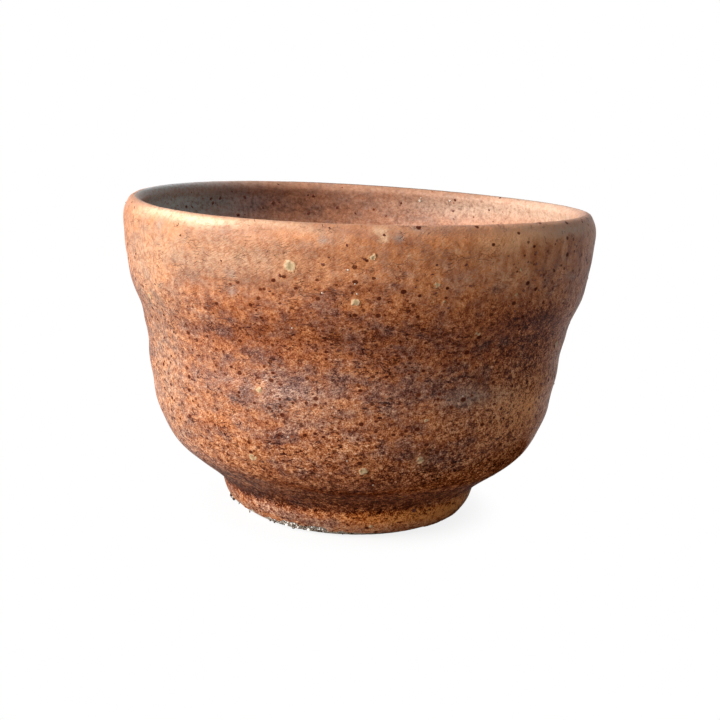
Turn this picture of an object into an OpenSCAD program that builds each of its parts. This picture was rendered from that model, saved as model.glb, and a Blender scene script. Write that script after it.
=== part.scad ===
/* [Cup] */
// Outside diameter at the widest ring, just under the lip, over the glaze
rim_d = 65; // [62:0.5:70]
// Height from the table to the top of the lip, over the glaze
cup_h = 43.5; // [40:0.5:50]

/* [Wall] */
// Outside diameter where the wall swells out again above the waist
shoulder_d = 63.8; // [60:0.2:65]
// Outside diameter at the shallow waist, where the fingers pressed the wall in
waist_d = 57.8; // [54:0.2:60]
// Outside diameter where the belly turns from the floor into the wall
belly_d = 54; // [49:0.2:56]
// Thickness of the fired clay wall
wall_t = 2.6; // [2:0.1:3.4]
// Depth of the throwing rings that the fingers left on the clay
ring_depth = 0.07; // [0:0.01:0.15]
// Height from one throwing ring to the next
ring_pitch = 5.2; // [4:0.1:8]

/* [Lip] */
// Thickness of the clay at the rounded lip
lip_t = 1.4; // [1:0.1:2]
// How far the lip leans in from the widest ring
lip_lean_in = 0.45; // [0:0.05:0.8]

/* [Floor] */
// Thickness of the clay floor above the foot
floor_t = 3.6; // [3:0.1:5]
// Height above the floor at which the bowl of the inside begins
bowl_h = 9.5; // [8:0.5:13]
// How full the bowl of the inside is, from a plain ellipse upwards
bowl_fullness = 2.7; // [2:0.1:3.5]

/* [Foot] */
// Height of the foot ring, up to its crease with the wall
foot_h = 4.4; // [3.4:0.1:5.4]
// Outside diameter of the foot ring at the crease, over the glaze
foot_d = 36.4; // [34:0.2:38.4]
// How far the foot's face draws in from the crease down to the bevel
foot_taper = 1.4; // [0.8:0.1:2]
// How far the foot's face swells beyond a straight one
foot_swell = 0.12; // [0:0.02:0.3]
// Height of the bare bevel at the foot's outer edge
bevel_h = 1.1; // [0.7:0.1:1.6]
// Width of the bare bevel, measured level
bevel_w = 1.65; // [1:0.05:2]
// Width of the ring that stands on the table, between the bevel and the recess
contact_w = 2.6; // [1.6:0.1:3.6]
// How far the recess wall draws in towards its ceiling
recess_draft = 0.6; // [0.2:0.1:1.2]
// Radius of the edges that touch the table
foot_edge_r = 0.35; // [0.2:0.05:0.5]

/* [Glaze] */
// Thickness of the glaze coats
glaze_t = 0.35; // [0.2:0.05:0.5]

/* [Inclusions] */
// Diameter of the largest feldspar grain that shows in the glaze
feldspar_d = 1.6; // [1:0.1:2.2]
// How far a feldspar grain stands above the glaze
feldspar_proud = 0.06; // [0.02:0.01:0.12]
// Size of the largest grain of kiln sand on the foot
sand_d = 0.8; // [0.6:0.05:1.1]

/* [Hidden] */
$fn = 96;

clay_colour = [0.74, 0.69, 0.6];
glaze_colour = [0.71, 0.42, 0.23];
liner_colour = [0.66, 0.44, 0.31];
feldspar_colour = [0.72, 0.69, 0.53];
sand_colour = [0.78, 0.75, 0.7];

// Steps along each stretch of the section
wall_steps = 10;
lip_steps = 6;
inside_steps = 22;
bowl_steps = 16;
foot_steps = 4;
edge_steps = 4;

// Length by which a cutting shape passes through what it cuts
overrun = 0.4;

// Heights of the wall's stations, as shares of its rise above the foot
belly_height_share = 0.24;
waist_height_share = 0.49;
shoulder_height_share = 0.785;
widest_height_share = 0.92;

// Lean of the wall at its stations, in degrees outwards from upright
crease_lean = 37;
belly_lean = 24;
waist_lean = 5;
shoulder_lean = 3.5;
widest_lean = 2;
lip_lean = -20;

// Curve arms at the two ends of each stretch, as shares of the stretch
arm_shares = [[0.36, 0.5], [0.16, 0.4], [0.5, 0.26], [0.34, 0.4], [0.6, 0.3]];

// Height over which the wall grows to its own thickness, as a share of the lip's thickness
lip_run_share = 6;

// The glaze thins over the lip and rolls up in a bead at its lower edge
lip_glaze_share = 0.7;
bead_shares = [0.6, 1.05, 1.2, 1.1];

lip_r = lip_t / 2;
lip_centre = [rim_d / 2 - glaze_t - lip_lean_in - lip_r, cup_h - glaze_t * lip_glaze_share - lip_r];
lip_crest = lip_centre + [0, lip_r];
wall_rise = cup_h - foot_h;
foot_top_r = foot_d / 2 - glaze_t;
foot_low_r = foot_top_r - foot_taper;
contact_r = foot_low_r - bevel_w;
recess_r = contact_r - contact_w;
floor_z = foot_h + floor_t;
bowl_z = floor_z + bowl_h;

function height_at(share) = foot_h + wall_rise * share;
function heading(lean) = [sin(lean), cos(lean)];
function eased(x) = let (c = min(max(x, 0), 1)) c * c * (3 - 2 * c);
function arc(centre, r, from, to, steps) =
    [for (i = [0:steps]) let (a = from + (to - from) * i / steps) centre + r * [cos(a), sin(a)]];
function backwards(line) = [for (i = [len(line) - 1:-1:0]) line[i]];
function from_second(line) = [for (i = [1:len(line) - 1]) line[i]];

outer_lip = arc(lip_centre, lip_r, -lip_lean, 90, lip_steps);
inner_lip = arc(lip_centre, lip_r, 90, 180, lip_steps);

// A station of the clay's outside: its place [radius, height] under the glaze, and its lean
function station(d, share, lean) = [[d / 2 - glaze_t, height_at(share)], lean];
stations = [
    station(foot_d, 0, crease_lean),
    station(belly_d, belly_height_share, belly_lean),
    station(waist_d, waist_height_share, waist_lean),
    station(shoulder_d, shoulder_height_share, shoulder_lean),
    station(rim_d, widest_height_share, widest_lean),
    [outer_lip[0], lip_lean]
];

// A point of the stretch above a station, on a cubic curve that keeps the lean at both ends
function stretch_point(i, t) =
    let (
        a = stations[i][0],
        d = stations[i + 1][0],
        span = norm(d - a),
        b = a + span * arm_shares[i][0] * heading(stations[i][1]),
        c = d - span * arm_shares[i][1] * heading(stations[i + 1][1]),
        u = 1 - t
    )
    u * u * u * a + 3 * u * u * t * b + 3 * u * t * t * c + t * t * t * d;
plain_wall = [
    for (i = [0:len(stations) - 2])
        for (k = [0:wall_steps - 1])
            stretch_point(i, k / wall_steps)
];

// The clay's outside radius at a height, without the throwing rings
radius_by_height = [for (p = concat(plain_wall, [outer_lip[0]])) [p[1], p[0]]];
function outside_r(z) = lookup(z, radius_by_height);

// Throwing rings fade out at the foot and at the lip
function ring_at(z) =
    ring_depth * sin(360 * (z - foot_h) / ring_pitch)
        * eased((z - foot_h) / ring_pitch) * eased((lip_centre[1] - z) / ring_pitch);
outside_wall = [for (p = plain_wall) p + [ring_at(p[1]), 0]];

// The clay's inside radius: the wall grows below the lip from the lip's thickness to its own
function inside_r(z) =
    let (
        at_lip = outside_r(lip_centre[1]) - lip_centre[0] + lip_r,
        t = at_lip + (wall_t - at_lip) * eased((lip_centre[1] - z) / (lip_run_share * lip_t))
    )
    outside_r(z) - t;
inside_wall = [
    for (i = [1:inside_steps])
        let (z = lip_centre[1] + (bowl_z - lip_centre[1]) * i / inside_steps)
        [inside_r(z) - ring_at(z), z]
];

// Below the wall, the bowl closes to the middle of the floor
bowl = [
    for (i = [1:bowl_steps])
        let (
            a = 90 * i / bowl_steps,
            z = bowl_z - bowl_h * pow(sin(a), 2 / bowl_fullness)
        )
        i < bowl_steps
            ? [inside_r(z) * pow(cos(a), 2 / bowl_fullness) - ring_at(z) * cos(a), z]
            : [0, floor_z]
];

// The foot's bare edge, from the table to the top of the bevel, and its glazed face above that
bevel_turn = atan2(bevel_h, bevel_w);
bevel_centre = [contact_r - foot_edge_r * tan(bevel_turn / 2), foot_edge_r];
bevel_face = concat(
    arc(bevel_centre, foot_edge_r, -90, bevel_turn - 90, edge_steps),
    [[foot_low_r, bevel_h]]
);
foot_face = [
    for (k = [0:foot_steps - 1])
        let (t = k / foot_steps)
        [
            foot_low_r + foot_taper * t + foot_swell * sin(180 * t),
            bevel_h + (foot_h - bevel_h) * t
        ]
];

// The clay under the outer glaze, up to the lip's crest, and under the inner glaze, down to the floor
outer_line = concat(foot_face, outside_wall, outer_lip);
inner_line = concat(inner_lip, inside_wall, bowl);

// Thickness of the glaze over a point of the clay, thinner the nearer that is to the lip's crest
function glaze_over(p) =
    let (away = norm(p - lip_crest) / lip_t)
    glaze_t * (1 - (1 - lip_glaze_share) * exp(-away * away));

// A line's point moved off the clay, square to the line, or straight up where the line ends level
function off_clay(line, i, depth, level) =
    let (along = line[min(i + 1, len(line) - 1)] - line[max(i - 1, 0)])
    line[i] + depth * (level ? [0, 1] : [along[1], -along[0]] / norm(along));
function bead_share(i) = i < len(bead_shares) ? bead_shares[i] : 1;

// The faces of the two coats, both of which end on the same line over the lip's crest
function outer_face(proud) =
    let (last = len(outer_line) - 1)
    [
        for (i = [0:last])
            off_clay(outer_line, i, glaze_over(outer_line[i]) * bead_share(i) + proud, i == last)
    ];
inner_face =
    let (last = len(inner_line) - 1)
    [
        for (i = [0:last])
            off_clay(inner_line, i, glaze_over(inner_line[i]), i == 0 || i == last)
    ];

module clay_body() {
    color(clay_colour)
        rotate_extrude()
            polygon(concat(outside_wall, outer_lip, from_second(inner_line), [[0, foot_h]]));
}

module foot_ring() {
    color(clay_colour)
        rotate_extrude()
            polygon(concat(
                arc([recess_r + foot_edge_r, foot_edge_r], foot_edge_r, 180, 270, edge_steps),
                bevel_face,
                from_second(foot_face),
                [[foot_top_r, foot_h], [recess_r - recess_draft, foot_h]]
            ));
}

module outer_glaze() {
    color(glaze_colour)
        difference() {
            rotate_extrude()
                polygon(concat(outer_line, backwards(outer_face(0))));
            for (place = feldspar_shares)
                feldspar_core(place);
        }
}

module inner_glaze() {
    color(liner_colour)
        rotate_extrude()
            polygon(concat(inner_line, backwards(inner_face)));
}

// Feldspar grains: turn from +X in degrees, then height up the wall and diameter as shares
feldspar_shares = [
    [256, 0.87, 1],
    [270, 0.77, 0.65],
    [287, 0.83, 0.55],
    [273, 0.91, 0.5],
    [299, 0.67, 0.5],
    [247, 0.46, 0.5],
    [243, 0.22, 0.65],
    [274, 0.21, 0.65],
    [289, 0.25, 0.7],
    [212, 0.7, 0.55],
    [334, 0.58, 0.6],
    [25, 0.72, 0.8],
    [78, 0.4, 0.65],
    [118, 0.76, 0.9],
    [158, 0.3, 0.7]
];

// A round core, square to the wall, that reaches from inside the clay to beyond the glaze
module feldspar_core(place) {
    z = height_at(place[1]);
    lean = atan2(outside_r(z + glaze_t) - outside_r(z - glaze_t), 2 * glaze_t);
    rotate([0, 0, place[0]])
        translate([outside_r(z), 0, z])
            rotate([0, 90 + lean, 0])
                translate([0, 0, -overrun])
                    cylinder(h = glaze_t + 2 * overrun, d = feldspar_d * place[2]);
}

module feldspar_grains() {
    color(feldspar_colour)
        for (place = feldspar_shares)
            intersection() {
                feldspar_core(place);
                rotate_extrude()
                    polygon(concat(outer_line, backwards(outer_face(feldspar_proud))));
            }
}

// Kiln sand on the foot: turn from +X in degrees, then height up the bevel and size as shares
sand_shares = [
    [186, 1.1, 0.6],
    [188, 1, 1],
    [191, 1.15, 0.65],
    [193, 0.95, 0.85],
    [203, 0.9, 0.65],
    [216, 0.95, 0.6],
    [231, 0.85, 0.65],
    [234, 0.95, 0.75],
    [236, 0.7, 0.6],
    [241, 0.9, 0.7],
    [244, 0.6, 0.75],
    [247, 0.85, 0.65],
    [252, 0.75, 0.7]
];
corner_share = 0.68;

// An angular grain: a turned cube with its corners knocked off by a ball
module sand_grain(place) {
    size = sand_d * place[2];
    ball_r = size * corner_share;
    grain_r = contact_r + bevel_w * place[1] + glaze_t / 2;
    rotate([0, 0, place[0]])
        translate([grain_r, 0, max(bevel_h * place[1], ball_r)])
            rotate([place[0], 3 * place[0], 0])
                intersection() {
                    cube(size, center = true);
                    sphere(ball_r);
                }
}

// The grains are cut to the bare edge and the glaze that they are stuck to
module kiln_sand() {
    color(sand_colour)
        difference() {
            for (place = sand_shares)
                sand_grain(place);
            rotate_extrude()
                polygon(concat([[0, 0]], bevel_face, outer_face(0), [[0, cup_h]]));
        }
}

clay_body();
foot_ring();
outer_glaze();
inner_glaze();
feldspar_grains();
kiln_sand();
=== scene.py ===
import math
import bpy
import numpy as np
from mathutils import Matrix, Vector


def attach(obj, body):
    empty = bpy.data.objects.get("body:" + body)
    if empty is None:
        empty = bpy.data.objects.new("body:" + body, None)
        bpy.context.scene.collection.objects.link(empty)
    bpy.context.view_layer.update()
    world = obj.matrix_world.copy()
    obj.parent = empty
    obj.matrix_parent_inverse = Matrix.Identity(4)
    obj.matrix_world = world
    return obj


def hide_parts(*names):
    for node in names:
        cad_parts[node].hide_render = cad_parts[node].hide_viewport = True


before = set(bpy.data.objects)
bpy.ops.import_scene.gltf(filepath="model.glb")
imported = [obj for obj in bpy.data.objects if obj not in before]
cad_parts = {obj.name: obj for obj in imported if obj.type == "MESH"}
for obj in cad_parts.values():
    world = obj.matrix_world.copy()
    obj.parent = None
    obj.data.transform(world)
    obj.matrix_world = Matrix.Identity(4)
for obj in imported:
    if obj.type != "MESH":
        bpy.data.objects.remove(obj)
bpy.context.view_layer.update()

mm = 0.001
cupHeight = 43.5 * mm

# the camera stands where the photograph was taken from; pixels are those of a 720 by 720 picture
view = {
    "imageSize": 720,
    "centreX": 353.3,
    "centreY": 359.2,
    "focalPixels": 1259.5,
    "distance": 179.79 * mm,
    "aimHeight": 21 * mm,
    "elevation": 12.09,
    "roll": 2.513,
    "sensor": 36,
    "nearest": 10 * mm,
}


def cameraAxes():
    lift, turn = math.radians(view["elevation"]), math.radians(view["roll"])
    right = Vector((1, 0, 0))
    up = Vector((0, math.sin(lift), math.cos(lift)))
    back = Vector((0, -math.cos(lift), math.sin(lift)))
    across = right * math.cos(turn) + up * math.sin(turn)
    along = up * math.cos(turn) - right * math.sin(turn)
    spot = Vector((0, 0, view["aimHeight"])) + back * view["distance"]
    return spot, across, along, back


def newObject(name, data):
    item = bpy.data.objects.new(name, data)
    bpy.context.scene.collection.objects.link(item)
    return item


def setCamera():
    spot, across, along, back = cameraAxes()
    data = bpy.data.cameras.new("photoCamera")
    data.sensor_width = view["sensor"]
    data.lens = view["focalPixels"] / view["imageSize"] * view["sensor"]
    data.shift_x = 0.5 - view["centreX"] / view["imageSize"]
    data.shift_y = view["centreY"] / view["imageSize"] - 0.5
    data.clip_start = view["nearest"]
    camera = newObject("photoCamera", data)
    turned = Matrix((across, along, back)).transposed().to_4x4()
    camera.matrix_world = Matrix.Translation(spot) @ turned
    bpy.context.scene.camera = camera


def sightLine(px, py):  # from the camera through a pixel of the picture
    spot, across, along, back = cameraAxes()
    sideways = (px - view["centreX"]) / view["focalPixels"]
    down = (py - view["centreY"]) / view["focalPixels"]
    return spot, (across * sideways - along * down - back).normalized()


setCamera()
print("camera set")


# short calls for node trees; put() adds the tree's own prefix to a node's short name
class Board:
    def __init__(self, tree):
        self.tree = tree
        self.family = tree.bl_idname.replace("Tree", "")

    def plug(self, value, socket):
        if isinstance(value, bpy.types.Node):
            value = value.outputs[0]
        if isinstance(value, bpy.types.NodeSocket):
            self.tree.links.new(value, socket)
        else:
            socket.default_value = value

    def put(self, kind, inputs=None, **settings):
        made = self.tree.nodes.new(kind if "Node" in kind else self.family + kind)
        for name, value in settings.items():
            setattr(made, name, value)
        for key, value in (inputs or {}).items():
            self.plug(value, made.inputs[key])
        return made

    def math(self, operation, *values, clamp=False):
        inputs = dict(enumerate(values))
        return self.put("ShaderNodeMath", inputs, operation=operation, use_clamp=clamp)

    def times(self, *values, clamp=False):
        return self.math("MULTIPLY", *values, clamp=clamp)

    def plus(self, *values):
        return self.math("ADD", *values)

    def minus(self, *values):
        return self.math("SUBTRACT", *values)

    def over(self, *values):
        return self.math("DIVIDE", *values)

    def centred(self, field, spread, under):  # adds a noise, which runs about a half, to what is there
        return self.math("MULTIPLY_ADD", self.minus(field, 0.5), spread, under)

    def vector(self, operation, *values, output=0):
        made = self.put("ShaderNodeVectorMath", operation=operation)
        for key, value in enumerate(values):
            self.plug(value, made.inputs[3 if operation == "SCALE" and key == 1 else key])
        return made.outputs[output]

    def parts(self, vector):
        return self.put("ShaderNodeSeparateXYZ", {0: vector}).outputs

    def join(self, x, y, z):
        return self.put("ShaderNodeCombineXYZ", {0: x, 1: y, 2: z})

    def fit(self, value, low, high, toLow=0.0, toHigh=1.0, smooth=False):
        kind = "SMOOTHSTEP" if smooth else "LINEAR"
        inputs = {0: value, 1: low, 2: high, 3: toLow, 4: toHigh}
        return self.put("ShaderNodeMapRange", inputs, interpolation_type=kind)

    def noise(self, place, size, detail, rough, seed=None):  # the size is a number or a socket
        scale = self.over(1.0, size) if isinstance(size, bpy.types.NodeSocket) else 1 / size
        inputs = {"Vector": place, "Scale": scale, "Detail": detail, "Roughness": rough}
        if seed is None:
            return self.put("ShaderNodeTexNoise", inputs)
        inputs["W"] = seed
        return self.put("ShaderNodeTexNoise", inputs, noise_dimensions="4D")

    def cells(self, place, size):
        return self.put("ShaderNodeTexVoronoi", {"Vector": place, "Scale": 1 / size})

    def ramp(self, value, stops):
        made = self.put("ShaderNodeValToRGB", {0: value})
        band = made.color_ramp.elements
        while len(band) < len(stops):
            band.new(0.5)
        for element, (place, colour) in zip(band, stops):
            element.position = place
            element.color = (*colour, 1)
        return made

    def blend(self, share, first, second, mode="MIX"):
        made = self.put("ShaderNodeMix", data_type="RGBA", blend_type=mode)
        for key, value in ((0, share), (6, first), (7, second)):
            value = (*value, 1) if isinstance(value, tuple) else value
            self.plug(value, made.inputs[key])
        return made.outputs[2]

    def bump(self, height, depth, strength=1.0, under=None):
        inputs = {"Height": height, "Distance": depth, "Strength": strength}
        if under is not None:
            inputs["Normal"] = under
        return self.put("ShaderNodeBump", inputs)

    def mark(self, name):  # a number kept on the mesh's points, in a material
        return self.put("ShaderNodeAttribute", attribute_name=name).outputs["Fac"]

    def kept(self, kind, label):  # the same in Geometry Nodes
        field = self.put("GeometryNodeInputNamedAttribute", {"Name": label}, data_type=kind)
        return field.outputs["Attribute"]


def newFinish(name):
    finish = bpy.data.materials.new(name)
    finish.use_nodes = True
    finish.node_tree.nodes.clear()
    board = Board(finish.node_tree)
    return finish, board, board.put("TexCoord").outputs["Object"]


def closeFinish(board, colour, roughness, normal, gloss):
    shader = board.put("BsdfPrincipled", {"Base Color": colour, "Roughness": roughness, "Normal": normal,
                                          "Specular IOR Level": gloss})
    board.put("OutputMaterial", {"Surface": shader})


# the iron glaze: an orange ground that breaks into a dark net and turns dusky in places, with iron
# specks, pits and fine wrinkles; a noise has a size, detail, roughness, seed and, if any, a stretch
outerLook = {
    "ground": [(0.0, (0.036, 0.006, 0.002)), (0.18, (0.118, 0.023, 0.006)), (0.38, (0.29, 0.083, 0.026)),
               (0.62, (0.56, 0.22, 0.085)), (1.0, (0.95, 0.58, 0.35))],
    "dusky": [(0.0, (0.028, 0.008, 0.006)), (0.18, (0.058, 0.025, 0.023)), (0.38, (0.13, 0.072, 0.066)),
              (0.62, (0.35, 0.2, 0.148)), (1.0, (0.88, 0.6, 0.43))],
    # the heights dip at about a tenth of the height: painted shade in the crease above the foot
    "heights": [(0.0, 0.5), (0.04, 0.58), (0.075, 0.45), (0.1, 0.13), (0.15, 0.22), (0.22, 0.43),
                (0.4, 0.53), (0.52, 0.47), (0.66, 0.39), (0.74, 0.44), (0.84, 0.55), (1.0, 0.61)],
    "contrasts": [(0.0, 0.85), (0.07, 1.1), (0.11, 1.5), (0.22, 1.3), (0.34, 1.05), (0.6, 0.95),
                  (0.75, 0.78), (0.84, 0.56), (0.92, 0.36), (1.0, 0.24)],
    "cloud": (5.5 * mm, 3, 0.55, 0, (0.32, 0.32, 1.0)),
    "cloudSpread": 0.42,
    "mottle": (1.9 * mm, 4, 0.65, 1, (0.32, 0.32, 1.0)),
    "mottleSpread": 0.23,
    "net": (0.54 * mm, 5, 0.75, 2, (0.9, 0.9, 1.0)),
    "netContrast": 1.85,
    "netDepth": 0.075 * mm,
    "grain": (0.17 * mm, 2, 0.7, 3),
    "grainContrast": 1.6,
    "grainDepth": 0.02 * mm,
    "run": (0.85 * mm, 3, 0.6, 9, (1.0, 1.0, 0.5)),
    "runHeights": [(0.0, 0.0), (0.62, 0.1), (0.78, 0.55), (0.94, 0.6), (1.0, 0.3)],
    "dash": (0.42 * mm, 3, 0.6, 11, (0.45, 0.45, 1.0)),
    "dashHeights": [(0.0, 0.2), (0.1, 0.4), (0.3, 0.25), (0.42, 0.25), (0.62, 0.3), (0.75, 0.2),
                    (0.85, 0.0)],
    "scratch": (0.9 * mm, 2, 0.5, 7, (0.5, 0.5, 1.4)),
    "scratchWidth": 0.03,
    "scratchTone": 0.42,
    "scratchDepth": 0.06 * mm,
    "worn": (1.9 * mm, 2, 0.5, 8),
    "wornBand": (0.5, 0.6),
    "dusk": (1.45 * mm, 3, 0.5, 4, (0.65, 0.65, 1.0)),
    "duskContrasts": (0.0, 0.9),
    "duskSpreads": (0.3, 0.75),
    "duskNet": 0.3,
    "duskGrain": 0.62,
    "duskBand": (0.41, 0.68),
    "duskShare": 0.72,
    "duskDepth": 0.11,
    # two of the shades are largely painted light: the grey one is painted sheen and shade, the peach one
    # a painted highlight
    "shades": {"ash": (0.27, 0.25, 0.235), "warm": (0.66, 0.27, 0.1), "peach": (0.88, 0.64, 0.42),
               "mist": (0.58, 0.42, 0.33)},
    "shadeNet": (0.36, 0.57, 0.35, 1.1),
    "amber": (1.0, 0.76, 0.42),
    "lip": (0.62, 0.37, 0.25),
    "lipBand": (0.955, 0.99),
    "lipShare": 0.25,
    "pit": (0.7 * mm, 3, 0.6, 10, (0.8, 0.8, 1.0)),
    "pitBand": (0.6, 0.67),
    "pitShare": 0.75,
    "speckSizes": [(1.1 * mm, 0.17 * mm, 0.31 * mm, 0.34), (0.85 * mm, 0.12 * mm, 0.22 * mm, 0.38)],
    "speckStretch": (0.8, 0.8, 1.0),
    "speckCrowds": [(0.0, 0.4), (0.08, 0.7), (0.16, 1.0), (0.7, 1.0), (0.8, 0.85), (0.92, 0.75),
                    (1.0, 0.45)],
    "speckRagged": 0.44,
    "speckEdge": (-0.02, 0.06),
    "speckStrength": (0.55, 0.95),
    "speck": (0.062, 0.01, 0.005),
    "ringEdge": (-0.07, 0.0),
    "ringShare": 0.3,
    "ring": (0.5, 0.15, 0.04),
    "drag": -38.0,
    "wrinkle": (0.32 * mm, 3, 0.55, 5),
    "wrinkleDepth": 0.09 * mm,
    "wave": (1.5 * mm, 2, 0.5, 6),
    "waveDepth": 0.12 * mm,
    "softBump": 0.5,
    "roughness": 0.42,
    "roughnessSpread": 0.18,
    "gloss": 0.16,
    "darkGloss": 0.18,
    "glossTones": (0.1, 0.8),
    "sheenPolish": 0.35,
    "sheenCrinkle": 3.0,
    "seed": 3.0,
}
linerLook = dict(
    outerLook,
    ground=[(0.0, (0.045, 0.016, 0.01)), (0.2, (0.15, 0.056, 0.03)), (0.4, (0.36, 0.155, 0.085)),
            (0.62, (0.6, 0.3, 0.18)), (1.0, (0.86, 0.56, 0.4))],
    dusky=[(0.0, (0.04, 0.02, 0.017)), (0.2, (0.12, 0.066, 0.052)), (0.4, (0.27, 0.165, 0.13)),
           (0.62, (0.5, 0.33, 0.26)), (1.0, (0.8, 0.6, 0.48))],
    heights=[(0.0, 0.38), (0.2, 0.38), (0.5, 0.44), (0.8, 0.48), (1.0, 0.54)],
    contrasts=[(0.0, 0.45), (0.6, 0.4), (0.86, 0.5), (1.0, 0.45)],
    grainContrast=0.7,
    speckCrowds=[(0.0, 1.0), (1.0, 1.0)],
    speckSizes=[(1.9 * mm, 0.12 * mm, 0.28 * mm, 0.75), (1.2 * mm, 0.05 * mm, 0.12 * mm, 0.6)],
    pitShare=0.0,
    runHeights=[(0.0, 0.1), (1.0, 0.1)],
    dashHeights=[(0.0, 0.2), (1.0, 0.2)],
    # inside, the grey shade is painted shade and reflection, and the peach one a painted highlight
    shades={"ash": (0.55, 0.78, 0.9), "peach": (0.87, 0.72, 0.56)},
    wrinkleDepth=0.03 * mm,
    netDepth=0.04 * mm,
    scratchTone=0.08,
    scratchDepth=0.015 * mm,
    seed=11.0)


def glazeFinish(name, look):
    finish, b, place = newFinish(name)
    height = b.over(b.parts(place)[2], cupHeight)

    def field(kind, where=place):  # one of the look's noises
        size, detail, rough, seed, *stretch = look[kind]
        if stretch:
            where = b.vector("MULTIPLY", where, *stretch)
        return b.noise(where, size, detail, rough, look["seed"] + seed)

    def upwards(stops):  # a number that changes with the height
        return b.ramp(height, [(at, (value,) * 3) for at, value in stops])

    cloud, mottle, net, grain = (field(kind) for kind in ("cloud", "mottle", "net", "grain"))
    crisp = b.plus(1.0, b.mark("crisp"))
    contrast = b.times(upwards(look["contrasts"]), crisp)

    # the height ramp holds painted shade in the crease, and the tone mark painted light and shade besides
    # the glaze's own tone
    tone = b.plus(upwards(look["heights"]), b.mark("tone"))
    tone = b.centred(cloud, look["cloudSpread"], tone)
    tone = b.centred(mottle, look["mottleSpread"], tone)
    tone = b.centred(net, b.times(contrast, look["netContrast"]), tone)
    tone = b.centred(grain, b.times(contrast, look["grainContrast"]), tone)
    for kind in ("run", "dash"):
        tone = b.centred(field(kind), b.times(crisp, upwards(look[kind + "Heights"])), tone)

    middle = b.math("ABSOLUTE", b.minus(field("scratch"), 0.5))
    line = b.fit(middle, 0.0, look["scratchWidth"], 1.0, 0.0)
    line = b.times(line, b.fit(field("worn"), *look["wornBand"]))
    depth = b.times(contrast, look["scratchTone"])
    tone = b.minus(tone, b.times(line, depth))

    spread = b.fit(contrast, *look["duskContrasts"], *look["duskSpreads"])
    dusk = b.centred(field("dusk"), spread, b.plus(b.mark("dusk"), 0.5))
    dusk = b.centred(net, look["duskNet"], dusk)
    dusk = b.centred(grain, look["duskGrain"], dusk)
    dusk = b.fit(dusk, *look["duskBand"], 0, look["duskShare"], smooth=True)
    tone = b.math("MULTIPLY_ADD", dusk, -look["duskDepth"], tone)
    colour = b.blend(dusk, b.ramp(tone, look["ground"]), b.ramp(tone, look["dusky"]))

    for shade, tint in look["shades"].items():
        share = b.times(b.mark(shade), b.fit(net, *look["shadeNet"]), clamp=True)
        colour = b.blend(share, colour, tint)
    # the amber mark is partly painted warm bounce light in the shade, partly the glaze's own colour
    colour = b.blend(b.mark("amber"), colour, look["amber"], "MULTIPLY")
    lip = b.fit(height, *look["lipBand"], 0, look["lipShare"], smooth=True)
    colour = b.blend(lip, colour, look["lip"])

    crowd = b.times(upwards(look["speckCrowds"]), b.plus(1.0, b.mark("crowd")))
    dark = b.fit(field("pit"), *look["pitBand"], 0.0, look["pitShare"], smooth=True)
    dark = b.times(dark, crowd, clamp=True)
    for size, least, most, chance in look["speckSizes"]:
        speck = b.cells(b.vector("MULTIPLY", place, look["speckStretch"]), size)
        draw = b.parts(speck.outputs["Color"])[0]
        present = b.math("GREATER_THAN", b.times(draw, crowd), chance)
        radius = b.fit(draw, chance, 1.0, least / size, most / size)
        inside = b.minus(radius, speck.outputs["Distance"])
        inside = b.centred(net, look["speckRagged"], inside)
        ring = b.fit(inside, *look["ringEdge"], 0, look["ringShare"], smooth=True)
        colour = b.blend(b.times(ring, present), colour, look["ring"])
        strong = b.times(b.fit(draw, chance, 1.0, *look["speckStrength"]), present)
        spot = b.times(b.fit(inside, *look["speckEdge"], smooth=True), strong)
        dark = b.math("MAXIMUM", dark, spot)
    colour = b.blend(dark, colour, look["speck"])

    sheen = b.mark("sheen")
    shiny = b.math("MAXIMUM", sheen, 0.0)
    roughness = b.centred(mottle, look["roughnessSpread"], look["roughness"])
    roughness = b.minus(roughness, b.times(shiny, look["sheenPolish"]))
    firm = b.fit(crisp, 0.0, 1.0, look["softBump"], 1.0)
    crinkled = b.math("MULTIPLY_ADD", shiny, look["sheenCrinkle"], firm)
    inputs = {"Vector": place, "Angle": b.times(b.parts(place)[2], look["drag"])}
    turned = b.put("VectorRotate", inputs, rotation_type="Z_AXIS")
    normal = b.bump(field("wave"), look["waveDepth"])
    normal = b.bump(field("wrinkle", turned), look["wrinkleDepth"], crinkled, under=normal)
    normal = b.bump(net, look["netDepth"], firm, under=normal)
    normal = b.bump(b.minus(1.0, line), look["scratchDepth"], under=normal)
    normal = b.bump(grain, look["grainDepth"], under=normal)
    gloss = b.math("MAXIMUM", b.plus(sheen, look["gloss"]), 0.0)
    gloss = b.times(gloss, b.fit(tone, *look["glossTones"], look["darkGloss"], 1.0))
    gloss = b.times(gloss, b.minus(1.0, dark))
    closeFinish(b, colour, roughness, normal, gloss)
    return finish


clayLook = {
    "tones": [(0.25, (0.34, 0.285, 0.22)), (0.5, (0.66, 0.6, 0.5)), (0.78, (0.86, 0.82, 0.74))],
    "patch": (2.2 * mm, 3, 0.6),
    "patchDepth": 0.12 * mm,
    "sand": (0.32 * mm, 2, 0.6),
    "sandSpread": 0.8,
    "sandDepth": 0.06 * mm,
    "gritSize": 0.9 * mm,
    "gritDraws": (0.5, 1.0, 0.0, 0.24),
    "gritEdge": (0.0, 0.05),
    "gritShare": 0.85,
    "grit": (0.16, 0.12, 0.1),
    "soot": (0.085, 0.075, 0.08),
    "sootSand": (0.35, 0.6, 0.3, 1.0),
    "roughness": (0.3, 0.7, 0.78, 0.95),
    "gloss": 0.25,
}


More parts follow.
